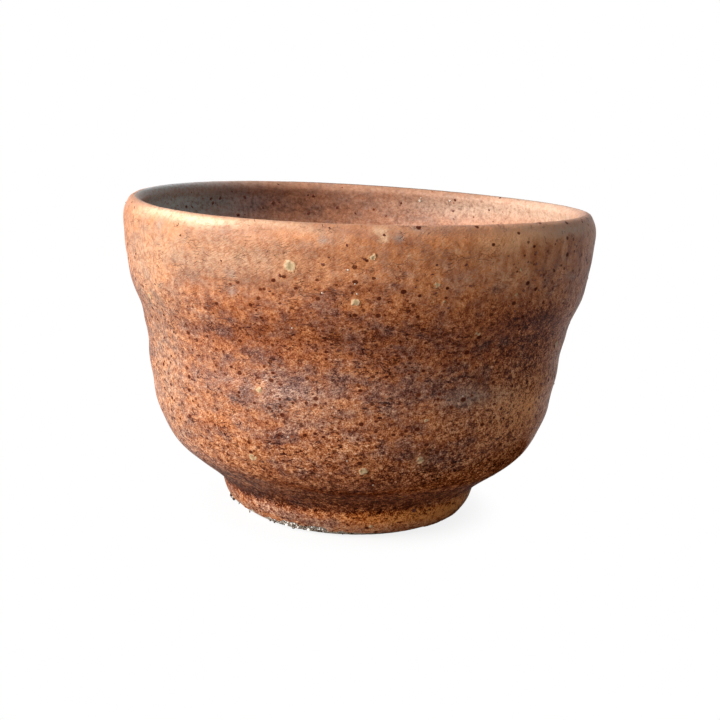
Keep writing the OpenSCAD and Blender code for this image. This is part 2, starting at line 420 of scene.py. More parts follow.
def clayFinish(name):
    finish, b, place = newFinish(name)
    patch = b.noise(place, *clayLook["patch"])
    sand = b.noise(place, *clayLook["sand"])
    colour = b.ramp(b.centred(sand, clayLook["sandSpread"], patch), clayLook["tones"])
    grit = b.cells(place, clayLook["gritSize"])
    size = b.fit(b.parts(grit.outputs["Color"])[0], *clayLook["gritDraws"])
    inside = b.minus(size, grit.outputs["Distance"])
    spot = b.fit(inside, *clayLook["gritEdge"], 0, clayLook["gritShare"])
    colour = b.blend(spot, colour, clayLook["grit"])
    soot = b.times(b.mark("soot"), b.fit(sand, *clayLook["sootSand"]))
    colour = b.blend(soot, colour, clayLook["soot"])
    normal = b.bump(patch, clayLook["patchDepth"])
    normal = b.bump(sand, clayLook["sandDepth"], under=normal)
    closeFinish(b, colour, b.fit(sand, *clayLook["roughness"]), normal, clayLook["gloss"])
    return finish


stoneLook = {"detail": 3, "rough": 0.65, "depth": 0.03 * mm, "roughnessSpread": 0.3}
feldsparStone = {
    "tones": [(0.0, (0.42, 0.18, 0.075)), (0.14, (0.5, 0.27, 0.13)), (0.3, (0.6, 0.42, 0.26)),
              (0.6, (0.44, 0.32, 0.18)), (1.0, (0.36, 0.27, 0.14))],
    "cloudSize": 0.22 * mm, "cloudSpread": 0.9, "drawSpread": 0.2, "roughness": 0.45, "gloss": 0.2,
}
ironStone = {
    "tones": [(0.0, (0.22, 0.062, 0.024)), (0.35, (0.11, 0.02, 0.006)), (1.0, (0.07, 0.012, 0.004))],
    "cloudSize": 0.25 * mm, "cloudSpread": 0.5, "drawSpread": 0.3, "roughness": 0.4, "gloss": 0.3,
}
sandStone = {
    "tones": [(0.0, (0.05, 0.035, 0.03)), (0.3, (0.22, 0.17, 0.14)), (0.6, (0.6, 0.56, 0.49)),
              (1.0, (0.84, 0.82, 0.78))],
    "cloudSize": 0.3 * mm, "cloudSpread": 0.8, "drawSpread": 2.0, "roughness": 0.75, "gloss": 0.2,
}
# pale grains that stand for small glints of light: painted highlights made as tiny lumps
glintStone = {
    "tones": [(0.0, (0.5, 0.4, 0.31)), (0.5, (0.68, 0.61, 0.53)), (1.0, (0.8, 0.77, 0.72))],
    "cloudSize": 0.2 * mm, "cloudSpread": 0.6, "drawSpread": 0.7, "roughness": 0.35, "gloss": 0.3,
}


# "core" runs from 0 at a grain's rim to 1, and "draw" is one number for each grain
def stoneFinish(name, look):
    finish, b, place = newFinish(name)
    cloud = b.noise(place, look["cloudSize"], stoneLook["detail"], stoneLook["rough"])
    tone = b.centred(b.mark("draw"), look["drawSpread"], b.mark("core"))
    tone = b.centred(cloud, look["cloudSpread"], tone)
    roughness = b.centred(cloud, stoneLook["roughnessSpread"], look["roughness"])
    normal = b.bump(cloud, stoneLook["depth"])
    closeFinish(b, b.ramp(tone, look["tones"]), roughness, normal, look["gloss"])
    return finish


outerGlaze = glazeFinish("ironGlaze", outerLook)
linerGlaze = glazeFinish("linerGlaze", linerLook)
bareClay = clayFinish("bareClay")
feldspar = stoneFinish("feldspar", feldsparStone)
ironSpot = stoneFinish("ironSpot", ironStone)
sandGrain = stoneFinish("sandGrain", sandStone)
glintGrain = stoneFinish("glintGrain", glintStone)
print("finishes made")


# the turned section of a CAD node, from the edges along its seam at y = 0
def sectionOf(name):
    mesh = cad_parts[name].data
    near = {}
    for edge in mesh.edges:
        ends = [mesh.vertices[i].co for i in edge.vertices]
        if all(abs(end.y) < 1e-7 and end.x > -1e-7 for end in ends):
            a, b = ((round(end.x, 7), round(end.z, 7)) for end in ends)
            if a != b:
                near.setdefault(a, set()).add(b)
                near.setdefault(b, set()).add(a)
    loose = [spot for spot in near if len(near[spot]) == 1]
    line = [min(loose or near, key=lambda spot: (spot[1], spot[0]))]
    while True:
        onward = [spot for spot in sorted(near[line[-1]]) if spot not in line]
        if not onward:
            return line, not loose
        line.append(onward[0])


def smoothRun(points, gap):  # a smooth line through the points, cut in even steps
    pts = np.array(points)
    step = np.diff(pts, axis=0)
    size = np.linalg.norm(step, axis=1)[:, None]
    slope = step / size
    lean = np.vstack([slope[:1],
                      (slope[:-1] * size[1:] + slope[1:] * size[:-1]) / (size[:-1] + size[1:]),
                      slope[-1:]])
    t = np.linspace(0, 1, 13)[:-1, None]
    fine = [pts[i] * (2 * t**3 - 3 * t**2 + 1) + lean[i] * size[i] * (t**3 - 2 * t**2 + t)
            + pts[i + 1] * (3 * t**2 - 2 * t**3) + lean[i + 1] * size[i] * (t**3 - t**2)
            for i in range(len(step))]
    fine = np.vstack(fine + [pts[-1:]])
    run = np.concatenate([[0], np.cumsum(np.linalg.norm(np.diff(fine, axis=0), axis=1))])
    stops = np.linspace(0, run[-1], max(1, round(run[-1] / gap)) + 1)
    return np.stack([np.interp(stops, run, fine[:, 0]), np.interp(stops, run, fine[:, 1])], 1)


def distanceTo(points, line):
    a, b = line[:-1], line[1:]
    along = b - a
    share = np.einsum("pij,ij->pi", points[:, None] - a[None], along) / (along**2).sum(1)
    foot = a[None] + np.clip(share, 0, 1)[..., None] * along[None]
    return np.linalg.norm(points[:, None] - foot, axis=2).min(1)


def backedBy(points, backing, touching=0.05 * mm):  # which points lie on the section of a backing node
    backed = np.zeros(len(points), bool)
    for name in backing:
        line, closed = sectionOf(name)
        backed |= distanceTo(points, np.array(line + line[:1] * closed)) < touching
    return backed


# rows of points along a node's section, close together where it shows and far apart where it is backed
def rowsOf(name, gap, hiddenGap, backing, cornerTurn=35):
    line, closed = sectionOf(name)
    pts = np.array(line)
    if not closed and pts[0, 0] > 0:
        pts = np.vstack([[0, pts[0, 1]], pts])  # a flat underside has no edge to the axis
    if closed:
        pts = np.vstack([pts, pts[:1]])
    turn = np.roll(pts, -1, 0)
    if np.sum(pts[:, 0] * turn[:, 1] - turn[:, 0] * pts[:, 1]) < 0:
        pts = pts[::-1]
    covered = backedBy(pts, backing)
    step = np.diff(pts, axis=0)
    heading = np.arctan2(step[:, 1], step[:, 0])
    bend = np.abs((np.diff(heading) + math.pi) % (2 * math.pi) - math.pi)
    cuts = [0] + [i + 1 for i in range(len(bend)) if bend[i] > math.radians(cornerTurn)
                  or covered[i + 1] != covered[i] or covered[i + 1] != covered[i + 2]]
    cuts.append(len(pts) - 1)
    rows = [pts[:1]]
    for a, b in zip(cuts[:-1], cuts[1:]):
        hidden = covered[a:b + 1].all()
        rows.append(smoothRun(pts[a:b + 1], hiddenGap if hidden else gap)[1:])
    rows = np.vstack(rows)
    return rows, 1.0 - backedBy(rows, backing), closed


def outwardOf(rows, closed):  # square to the section, away from the solid
    along = np.gradient(rows, axis=0)
    if closed:
        along[0] = along[-1] = rows[1] - rows[-2]
    out = np.stack([along[:, 1], -along[:, 0]], 1)
    return out / np.linalg.norm(out, axis=1)[:, None]


def keepMark(mesh, label, values):  # a number or a vector for each point of the mesh
    values = np.asarray(values, float)
    kind, field = ("FLOAT", "value") if values.ndim == 1 else ("FLOAT_VECTOR", "vector")
    mesh.attributes.new(label, kind, "POINT").data.foreach_set(field, values.ravel())


def lineObject(name, rows, marks):  # a section as a bare line, with marks on its points
    mesh = bpy.data.meshes.new(name)
    mesh.from_pydata([(r, 0, z) for r, z in rows], [(i, i + 1) for i in range(len(rows) - 1)], [])
    for label, values in marks.items():
        keepMark(mesh, label, values if values.ndim == 1 else np.insert(values, 1, 0, axis=1))
    return newObject(name, mesh)


# shared calls for Geometry Nodes
def newShaper(name, **sockets):
    tree = bpy.data.node_groups.new(name, "GeometryNodeTree")
    for way in ("INPUT", "OUTPUT"):
        tree.interface.new_socket("Geometry", in_out=way, socket_type="NodeSocketGeometry")
    for kind, labels in sockets.items():
        for label in labels:
            tree.interface.new_socket(label, in_out="INPUT", socket_type="NodeSocket" + kind)
    board = Board(tree)
    return tree, board, board.put("NodeGroupInput").outputs


def closeShaper(board, geometry, finish):
    whole = board.put("RealizeInstances", {0: geometry})
    dressed = board.put("SetMaterial", {"Geometry": whole, "Material": finish})
    board.put("NodeGroupOutput", {0: dressed})


def shapeWith(item, tree, values):  # runs the tree on the object and keeps the plain mesh that it gives
    step = item.modifiers.new("shape", "NODES")
    step.node_group = tree
    for socket in tree.interface.items_tree:
        if socket.in_out == "INPUT" and socket.name in values:
            step[socket.identifier] = values[socket.name]
    ready = item.evaluated_get(bpy.context.evaluated_depsgraph_get())
    made = bpy.data.meshes.new_from_object(ready)
    item.modifiers.remove(step)
    old, item.data = item.data, made
    made.name = item.name
    bpy.data.meshes.remove(old)
    return item


# a piece thrown and turned on the wheel: its section's rows, carried round the axis; the hem is the
# ragged lower edge of the glaze, and the lift draws it up between two turns
wheel = {
    "steadyWithin": 14 * mm,
    "wobble": (1, 0.5),
    "relief": (3, 0.5),
    "hemRing": 9 * mm,
    "ragged": (1.9 * mm, 4, 0.7),
    "raggedMiddle": 0.66,
    "raggedLift": (0.38, 0.62, 0.1, 1.0),
    "liftFades": (0.2, 0.25),
    "weld": 0.0005 * mm,
    "sharpTurn": math.radians(48),
}


def thrownTree():
    tree, b, given = newShaper("thrownOnTheWheel", Int=["Turns"], Float=[
        "Hand wobble", "Wobble reach", "Rim saddle", "Saddle turn", "Saddle from", "Saddle to", "Relief",
        "Relief size", "Hem wave", "Hem lift", "Lift from", "Lift to", "Groove depth", "Groove pitch",
        "Seed"], Material=["Finish"])
    rows = b.put("AttributeDomainSize", {0: given["Geometry"]}).outputs["Point Count"]
    across = b.plus(given["Turns"], 1)
    grid = b.put("MeshGrid", {"Vertices X": across, "Vertices Y": rows})
    index = b.put("InputIndex")
    column = b.math("FLOOR", b.over(b.plus(index, 0.5), rows))
    row = b.minus(index, b.times(column, rows))
    angle = b.times(b.over(column, given["Turns"]), 2 * math.pi)

    def fromRow(kind, field):
        inputs = {"Geometry": given["Geometry"], "Value": field, "Index": row}
        return b.put("SampleIndex", inputs, data_type=kind, domain="POINT")

    spot = b.parts(fromRow("FLOAT_VECTOR", b.put("InputPosition")))
    out, hemPath = (b.parts(fromRow("FLOAT_VECTOR", b.kept("FLOAT_VECTOR", label)))
                    for label in ("outward", "hemPath"))
    showing, hem, groove = (fromRow("FLOAT", b.kept("FLOAT", label))
                            for label in ("showing", "hem", "groove"))
    cosine, sine = b.math("COSINE", angle), b.math("SINE", angle)

    def carried(radial, height):  # a point or a step of the section, turned to its column
        return b.join(b.times(radial, cosine), b.times(radial, sine), height)

    place = carried(spot[0], spot[2])
    wobble = b.noise(place, given["Wobble reach"], *wheel["wobble"], seed=given["Seed"])
    wobble = b.times(b.minus(wobble, 0.5), given["Hand wobble"])
    wobble = b.times(wobble, b.fit(spot[0], 0, wheel["steadyWithin"], smooth=True))
    relief = b.noise(place, given["Relief size"], *wheel["relief"], seed=b.plus(given["Seed"], 7.0))
    relief = b.times(b.minus(relief, 0.5), given["Relief"])
    spiral = b.minus(b.times(b.over(spot[0], given["Groove pitch"]), 2 * math.pi), angle)
    spiral = b.times(b.times(b.math("SINE", spiral), given["Groove depth"]), groove)
    proud = b.math("MULTIPLY_ADD", relief, showing, spiral)

    twice = b.math("COSINE", b.times(b.minus(angle, given["Saddle turn"]), 2.0))
    saddle = b.times(b.times(twice, given["Rim saddle"]),
                     b.fit(spot[2], given["Saddle from"], given["Saddle to"], smooth=True))

    ragged = b.noise(carried(wheel["hemRing"], 0.0), *wheel["ragged"], seed=b.plus(given["Seed"], 3.0))
    wave = b.times(b.minus(ragged, wheel["raggedMiddle"]), given["Hem wave"])
    rise, fall = wheel["liftFades"]
    begun = b.fit(angle, given["Lift from"], b.plus(given["Lift from"], rise), smooth=True)
    ended = b.fit(angle, b.minus(given["Lift to"], fall), given["Lift to"], smooth=True)
    window = b.times(begun, b.minus(1.0, ended))
    lift = b.times(b.times(window, given["Hem lift"]), b.fit(ragged, *wheel["raggedLift"]))
    lift = b.times(b.plus(wave, lift), hem)

    def moved(axis, start):  # out from the wall, and up along the hem's path
        return b.math("MULTIPLY_ADD", hemPath[axis], lift,
                      b.math("MULTIPLY_ADD", out[axis], proud, start))

    radial, height = moved(0, b.plus(spot[0], wobble)), moved(2, b.plus(spot[2], saddle))
    height = b.math("MAXIMUM", height, 0.0)  # the foot stands on the table, not in it
    placed = b.put("SetPosition", {"Geometry": grid, "Position": carried(radial, height)})
    inputs = {"Geometry": placed, "Name": "UVMap", "Value": grid.outputs["UV Map"]}
    whole = b.put("StoreNamedAttribute", inputs, data_type="FLOAT2", domain="CORNER")
    whole = b.put("MergeByDistance", {"Geometry": whole, "Distance": wheel["weld"]})
    whole = b.put("SetShadeSmooth", {"Geometry": whole}, domain="FACE")
    sharp = b.math("GREATER_THAN", b.put("InputMeshEdgeAngle"), wheel["sharpTurn"])
    inputs = {"Geometry": whole, "Selection": sharp, "Shade Smooth": False}
    whole = b.put("SetShadeSmooth", inputs, domain="EDGE")
    closeShaper(b, whole, given["Finish"])
    return tree


onTheWheel = thrownTree()

# the hand's unevenness is one for all the coats, so that they lie on the clay as the CAD has them
hand = {
    "Hand wobble": 0.5 * mm,
    "Wobble reach": 26 * mm,
    "Rim saddle": 0.25 * mm,
    "Saddle turn": math.radians(315),
    "Saddle from": 20 * mm,
    "Saddle to": cupHeight,
    "Seed": 4.0,
}
# the hem moves in full up to one height and fades out at the next, along the lean of the foot's wall
hemLook = {"full": 1.4 * mm, "fades": 5.0 * mm, "lean": (0.39, 0.92)}


def thrownPiece(name, node, finish, backing, look, grooved=None):
    rows, showing, closed = rowsOf(node, look["gap"], look["hiddenGap"], backing)
    height = rows[:, 1]
    hem = np.clip((hemLook["fades"] - height) / (hemLook["fades"] - hemLook["full"]), 0, 1)
    hem = hem * hem * (3 - 2 * hem) * look.get("hasHem", 0)
    groove = np.zeros(len(rows)) if grooved is None else grooved(rows)
    marks = {"outward": outwardOf(rows, closed), "showing": showing, "hem": hem, "groove": groove,
             "hemPath": np.tile(hemLook["lean"], (len(rows), 1))}
    values = {**hand, **look["shape"], "Finish": finish}
    item = shapeWith(lineObject(name, rows, marks), onTheWheel, values)
    print(name, len(rows), "rows,", len(item.data.polygons), "faces")
    return item


noHem = {"Hem wave": 0.0, "Hem lift": 0.0, "Lift from": 0.0, "Lift to": 1.0}
noGroove = {"Groove depth": 0.0, "Groove pitch": 1 * mm}
outerCoatLook = {
    "gap": 0.36 * mm,
    "hiddenGap": 2.2 * mm,
    "hasHem": 1,
    "shape": {"Turns": 520, "Relief": 0.12 * mm, "Relief size": 2.4 * mm, "Hem wave": 0.9 * mm,
              "Hem lift": 1.0 * mm, "Lift from": math.radians(184), "Lift to": math.radians(276),
              **noGroove},
}
outerCoat = thrownPiece("outerCoat", "outer_glaze", outerGlaze, ["clay_body", "foot_ring"], outerCoatLook)

linerCoatLook = {
    "gap": 0.42 * mm,
    "hiddenGap": 2.2 * mm,
    "shape": {"Turns": 440, "Relief": 0.12 * mm, "Relief size": 2.4 * mm, **noHem, **noGroove},
}
linerCoat = thrownPiece("linerCoat", "inner_glaze", linerGlaze, ["clay_body"], linerCoatLook)

thrownClayLook = {
    "gap": 0.3 * mm,
    "hiddenGap": 1.5 * mm,
    "shape": {"Turns": 300, "Relief": 0.05 * mm, "Relief size": 1.2 * mm, "Groove depth": 0.14 * mm,
              "Groove pitch": 2.1 * mm, **noHem},
    "recess": (11.2 * mm, 4.5 * mm),
    "ringsFrom": 1 * mm,
}


def recessRings(rows):  # the turning tool's spiral, under the floor and inside the ring only
    wide, high = thrownClayLook["recess"]
    within = (rows[:, 1] < high) & (rows[:, 0] < wide)
    return np.where(within, np.clip(rows[:, 0] / thrownClayLook["ringsFrom"], 0, 1), 0.0)


thrownClay = thrownPiece("thrownClay", "clay_body", bareClay, ["foot_ring", "outer_glaze", "inner_glaze"],
                         thrownClayLook, recessRings)

turnedFootLook = {
    "gap": 0.25 * mm,
    "hiddenGap": 1.0 * mm,
    "shape": {"Turns": 420, "Relief": 0.09 * mm, "Relief size": 0.8 * mm, **noHem, **noGroove},
}
turnedFoot = thrownPiece("turnedFoot", "foot_ring", bareClay, ["clay_body"], turnedFootLook)

for item, node in ((outerCoat, "outer_glaze"), (linerCoat, "inner_glaze"), (thrownClay, "clay_body"),
                   (turnedFoot, "foot_ring")):
    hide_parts(node)
    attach(item, "root")
print("thrown pieces placed")


# marks on the coats, placed by pixels of the picture where it shows them; well outside is 60 mm off
markLook = {"wellOutside": 60, "depth": 6 * mm, "halo": 0.4, "haloReach": 2.0}


def onCoat(item, px, py):  # where the line of sight meets the coat
    start, aim = sightLine(px, py)
    met, place, normal, face = item.ray_cast(start, aim)
    if not met:
        raise ValueError(f"pixel {px}, {py} is off the cup")
    return place, normal, (place - start).length / view["focalPixels"]


def onWall(item, azimuth, height):  # where a level line from outside meets the coat
    turn = math.radians(azimuth)
    away = Vector((math.cos(turn), math.sin(turn), 0))
    start = away * markLook["wellOutside"] * mm + Vector((0, 0, height))
    met, place, normal, face = item.ray_cast(start, -away)
    return place, normal


def spotsAt(item, pixels, share):  # place, direction away from the wall and radius of each spot
    spots = []
    for px, py, wide in pixels:
        place, normal, perPixel = onCoat(item, px, py)
        spots.append((place, normal, wide * perPixel * share))
    return spots


def coordinatesOf(item):
    spots = np.empty(len(item.data.vertices) * 3)
    item.data.vertices.foreach_get("co", spots)
    return spots.reshape(-1, 3)


# each patch: pixel, half width and half height in pixels as they lie on the wall, and its strength
patchLook = {
    # tone: the glaze's own lighter and darker places, and painted light and shade as well: painted shade
    # in the crease above the foot and on the lip where the lamp lights it too brightly, painted light on
    # the foot's right face and the shaded right side
    "tone": [
        (525, 352, 40, 22, -0.03), (455, 505, 30, 10, 0.06), (350, 494, 120, 9, -0.04),
        (165, 330, 50, 40, 0.02), (455, 508, 30, 9, 0.05), (350, 494, 110, 7, -0.03),
        (220, 365, 60, 22, 0.05), (350, 365, 70, 18, 0.06), (485, 410, 40, 22, 0.06),
        (205, 412, 50, 20, 0.04), (350, 455, 70, 16, 0.04), (500, 272, 60, 20, 0.04),
        (300, 519, 44, 6, -0.05), (420, 514, 60, 9, -0.05), (225, 256, 100, 24, -0.22),
        (300, 258, 36, 18, -0.06), (350, 285, 16, 10, -0.08), (300, 226, 140, 6, -0.13),
        (520, 240, 66, 12, 0.22), (500, 264, 60, 26, 0.05), (474, 397, 34, 8, 0.06),
        (470, 235, 40, 8, -0.04), (430, 222, 60, 6, -0.25), (370, 300, 60, 18, -0.05),
        (200, 315, 26, 10, 0.18), (322, 286, 20, 10, 0.08), (500, 284, 20, 14, 0.07),
        (562, 255, 18, 40, 0.1), (300, 290, 110, 5, -0.1), (440, 316, 20, 12, -0.05),
        (520, 320, 46, 9, -0.16), (480, 338, 50, 10, -0.06), (430, 374, 70, 14, 0.08),
        (530, 404, 30, 24, 0.34), (500, 405, 24, 18, 0.08), (532, 345, 26, 16, 0.14),
        (490, 345, 40, 14, 0.04), (545, 290, 24, 24, 0.08), (512, 440, 16, 14, 0.1),
        (380, 522, 44, 9, 0.06), (440, 512, 50, 9, 0.2), (290, 513, 60, 14, 0.08),
        (380, 520, 70, 9, 0.04), (545, 232, 40, 8, 0.15), (400, 492, 90, 8, 0.04),
        (540, 336, 34, 26, -0.24), (380, 376, 30, 18, -0.04), (508, 405, 28, 22, 0.19),
        (489, 440, 18, 14, 0.12), (272, 438, 32, 16, -0.08), (240, 432, 14, 12, 0.08),
        (425, 450, 46, 20, -0.1), (350, 434, 40, 12, -0.05), (472, 438, 20, 10, -0.08),
        (500, 464, 16, 10, -0.16), (292, 464, 18, 10, 0.09), (380, 484, 26, 8, -0.08),
        (452, 484, 30, 9, -0.14), (432, 510, 86, 11, 0.34), (455, 504, 22, 12, 0.16),
        (330, 512, 60, 9, 0.06), (440, 493, 50, 5, -0.14), (246, 483, 20, 10, 0.2),
        (262, 505, 26, 8, 0.24), (537, 264, 7, 24, -0.1), (556, 262, 5, 22, -0.12),
        (470, 262, 8, 12, -0.08), (548, 250, 4, 12, -0.2), (560, 252, 4, 14, -0.2),
        (570, 247, 4, 12, -0.2), (581, 250, 4, 14, -0.2), (536, 248, 4, 10, -0.16),
        (525, 250, 4, 8, -0.14),
    ],
    "dusk": [
        (300, 519, 44, 7, 0.2), (410, 518, 60, 9, -0.35), (290, 392, 16, 14, 0.15),
        (288, 437, 14, 9, 0.22), (300, 475, 26, 8, 0.12), (345, 470, 14, 8, 0.12),
        (275, 270, 70, 22, -0.07), (425, 462, 56, 14, 0.09), (460, 226, 60, 10, 0.08),
        (525, 352, 40, 22, 0.02), (505, 322, 60, 18, -0.12), (380, 450, 60, 20, 0.05),
        (245, 395, 70, 34, 0.05), (305, 388, 55, 26, 0.04), (225, 262, 95, 24, 0.02),
        (400, 396, 60, 14, 0.03), (470, 396, 26, 10, 0.12), (540, 370, 40, 70, -0.25),
        (430, 392, 90, 22, 0.1), (300, 430, 60, 12, 0.03), (510, 440, 50, 50, -0.3),
        (460, 484, 90, 22, -0.35), (400, 505, 130, 16, -0.3), (520, 242, 62, 12, -0.2),
        (300, 480, 90, 14, -0.15), (350, 455, 50, 20, -0.08),
    ],
    "crisp": [
        (205, 245, 120, 44, -0.55), (520, 226, 80, 7, -0.5), (250, 345, 90, 60, -0.15),
        (215, 392, 60, 40, -0.2), (520, 385, 40, 90, 0.9), (470, 430, 40, 70, 0.35),
        (440, 330, 80, 30, 0.15), (430, 470, 90, 24, 0.35), (420, 513, 90, 11, 0.7),
        (452, 511, 36, 10, 0.8),
    ],
    "crowd": [
        (190, 235, 150, 50, -1.0), (160, 280, 60, 30, -0.7), (300, 235, 100, 20, -0.5),
        (430, 512, 90, 12, -0.8), (460, 270, 90, 34, -0.55), (415, 272, 36, 24, -0.45),
    ],
    # the grey shade: painted sheen over the belly, painted shade on the lip where the lamp lights it too
    # brightly, and a few small grey flecks of the glaze
    "ash": [
        (290, 395, 110, 34, 0.1), (231, 274, 6, 5, 0.5), (231, 291, 6, 5, 0.45), (323, 240, 5, 4, 0.7),
        (399, 238, 5, 5, 0.7), (418, 228, 7, 4, 0.5), (159, 226, 5, 5, 0.5), (478, 397, 42, 9, 0.5),
        (435, 221, 60, 4, 0.35),
    ],
    # the peach shade: mostly a painted highlight on the lamp side and the left of the lip, with a few
    # small pale flecks
    "peach": [
        (160, 345, 50, 26, 0.06), (165, 211, 50, 5, 0.9), (205, 219, 40, 5, 0.8), (265, 222, 60, 5, 0.45),
        (225, 256, 110, 28, 0.3), (145, 262, 60, 60, 0.25), (165, 380, 40, 60, 0.12),
        (380, 231, 7, 4, 0.8), (385, 239, 6, 4, 0.6),
    ],
    "mist": [(568, 230, 40, 6, 1.0), (530, 227, 30, 4, 0.5)],
    # amber deepens and warms the colour: painted warm bounce light in the shade on the right side, the
    # crease and the foot, and the glaze's own amber below the rim
    "amber": [
        (350, 494, 120, 9, 0.5), (532, 402, 22, 26, 0.35), (525, 352, 40, 22, 0.35),
        (500, 450, 60, 24, 0.15), (455, 508, 34, 10, 0.4), (480, 238, 60, 9, 0.3),
        (430, 514, 90, 11, 1.0), (370, 518, 60, 10, 0.7), (380, 497, 110, 7, 0.5),
        (460, 506, 44, 12, 0.8), (500, 350, 60, 110, 0.25), (526, 402, 44, 24, 0.4),
        (505, 436, 44, 22, 0.35), (466, 478, 40, 14, 0.4),
    ],
    "sheen": [
        (265, 388, 66, 28, 0.44), (215, 255, 110, 34, 0.22), (195, 350, 60, 60, 0.25),
        (400, 395, 110, 20, 0.08), (470, 478, 130, 34, -0.16), (532, 400, 62, 120, -0.12),
        (430, 512, 100, 16, -0.16), (350, 494, 110, 9, -0.14),
    ],
}
# painted shade on the lip's outer edge at the back, which faces away from the lamp
backEdge = {"heights": (43.1 * mm, 43.35 * mm), "radii": (30.8 * mm, 30.9 * mm), "turn": 62.0,
            "reach": 48.0, "tone": -0.7}


def rising(values, band):  # from 0 to 1 over the band
    return np.clip((values - band[0]) / (band[1] - band[0]), 0, 1)


def backEdgeShade(spots):  # the lip's outer edge at the back, darkened as painted shade where it turns away from the lamp
    azimuth = np.degrees(np.arctan2(spots[:, 1], spots[:, 0]))
    outside = rising(np.hypot(spots[:, 0], spots[:, 1]), backEdge["radii"])
    high = rising(spots[:, 2], backEdge["heights"])
    near = np.exp(-((azimuth - backEdge["turn"]) / backEdge["reach"])**6)
    return backEdge["tone"] * high * outside * near


def paintPatches(item, look):
    spots = coordinatesOf(item)
    for label, patches in look.items():
        total = np.zeros(len(spots))
        for px, py, wide, tall, strength in patches:
            centre, normal, perPixel = onCoat(item, px, py)
            level = Vector((-centre.y, centre.x, 0)).normalized()
            steep = normal.cross(level)
            away = spots - np.array(centre)
            across = away @ np.array(level) / (wide * perPixel)
            along = away @ np.array(steep) / (tall * perPixel)
            depth = away @ np.array(normal) / markLook["depth"]
            total += strength * np.exp(-(across**2 + along**2 + depth**2))
        if label == "tone":
            # tone also takes the painted shade of the lip's back edge
            total += backEdgeShade(spots)
        keepMark(item.data, label, total)


def paintHalos(item, spots):  # a warm ring in the glaze round each speck or grain
    coat = coordinatesOf(item)
    halo = np.zeros(len(coat))
    for centre, radius in spots:
        away = np.linalg.norm(coat - np.array(centre), axis=1)
        near = np.exp(-((away / (radius * markLook["haloReach"]))**2))
        halo = np.maximum(halo, markLook["halo"] * near)
    keepMark(item.data, "warm", halo)


# one tree sets a lens or a stone at every point, square to the wall
squeezes = (0.78, 1.12)
lumpNoise = (2, 0.5)


def grainTree():
    tree, b, given = newShaper("grainsOnTheWall", Int=["Segments", "Rings", "Seed"],
                               Float=["Height share", "Uneven", "Uneven size"], Material=["Finish"])
    ball = b.put("MeshUVSphere", {"Segments": given["Segments"], "Rings": given["Rings"], "Radius": 1.0})
    ball = b.put("SetShadeSmooth", {"Geometry": ball.outputs["Mesh"]})
    flat = b.vector("MULTIPLY", b.put("InputPosition"), (1, 1, 0))
    core = b.minus(1.0, b.vector("LENGTH", flat, output=1))

    def stored(geometry, label, value, domain):
        inputs = {"Geometry": geometry, "Name": label, "Value": value}
        return b.put("StoreNamedAttribute", inputs, data_type="FLOAT", domain=domain)

    def drawn(low, high, chance):  # one number for each grain
        inputs = {2: low, 3: high, "Seed": b.plus(given["Seed"], chance)}
        return b.put("FunctionNodeRandomValue", inputs, data_type="FLOAT").outputs[1]

    ball = stored(ball, "core", core, "POINT")
    outward = b.kept("FLOAT_VECTOR", "outward")
    aim = b.put("FunctionNodeAlignRotationToVector", {"Vector": outward}, axis="Z")
    inputs = {"Min": (0, 0, 0), "Max": (0, 0, 2 * math.pi), "Seed": given["Seed"]}
    spin = b.put("FunctionNodeRandomValue", inputs, data_type="FLOAT_VECTOR")
    aim = b.put("FunctionNodeRotateRotation", {0: aim, 1: spin}, rotation_space="LOCAL")
    size = b.kept("FLOAT", "size")
    scale = b.join(size, b.times(size, drawn(*squeezes, 1)), b.times(size, given["Height share"]))
    points = b.put("MeshToPoints", {"Mesh": given["Geometry"]})
    grains = b.put("InstanceOnPoints", {"Points": points, "Instance": ball, "Rotation": aim,
                                        "Scale": scale})
    grains = stored(grains, "draw", drawn(0.0, 1.0, 2), "INSTANCE")
    whole = b.put("RealizeInstances", {0: grains})
    lumps = b.noise(b.put("InputPosition"), given["Uneven size"], *lumpNoise)
    push = b.vector("SUBTRACT", lumps.outputs["Color"], (0.5, 0.5, 0.5))
    push = b.vector("SCALE", push, given["Uneven"])
    whole = b.put("SetPosition", {"Geometry": whole, "Offset": push})
    closeShaper(b, whole, given["Finish"])
    return tree


grainsOnTheWall = grainTree()


def grainPiece(name, spots, shape, finish):
    places, outward, radii = zip(*spots)
    mesh = bpy.data.meshes.new(name)
    mesh.from_pydata(places, [], [])
    keepMark(mesh, "outward", outward)
    keepMark(mesh, "size", radii)
    item = shapeWith(newObject(name, mesh), grainsOnTheWall, {**shape, "Finish": finish})
    print(name, len(spots), "grains")
    return item


def grainsOf(node):  # middle and half width of each loose grain of a CAD node
    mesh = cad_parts[node].data
    parent = list(range(len(mesh.vertices)))
    same = {}

    def root(i):
        while parent[i] != i:
            parent[i] = parent[parent[i]]
            i = parent[i]
        return i

    for vertex in mesh.vertices:
        key = tuple(round(c, 6) for c in vertex.co)
        parent[root(vertex.index)] = root(same.setdefault(key, vertex.index))
    for edge in mesh.edges:
        parent[root(edge.vertices[0])] = root(edge.vertices[1])
    groups = {}
    for vertex in mesh.vertices:
        groups.setdefault(root(vertex.index), []).append(vertex.co.copy())
    found = []
    for group in groups.values():
        middle = sum(group, Vector()) / len(group)
        found.append((middle, max((spot - middle).length for spot in group)))
    return sorted(found, key=lambda grain: tuple(grain[0]))


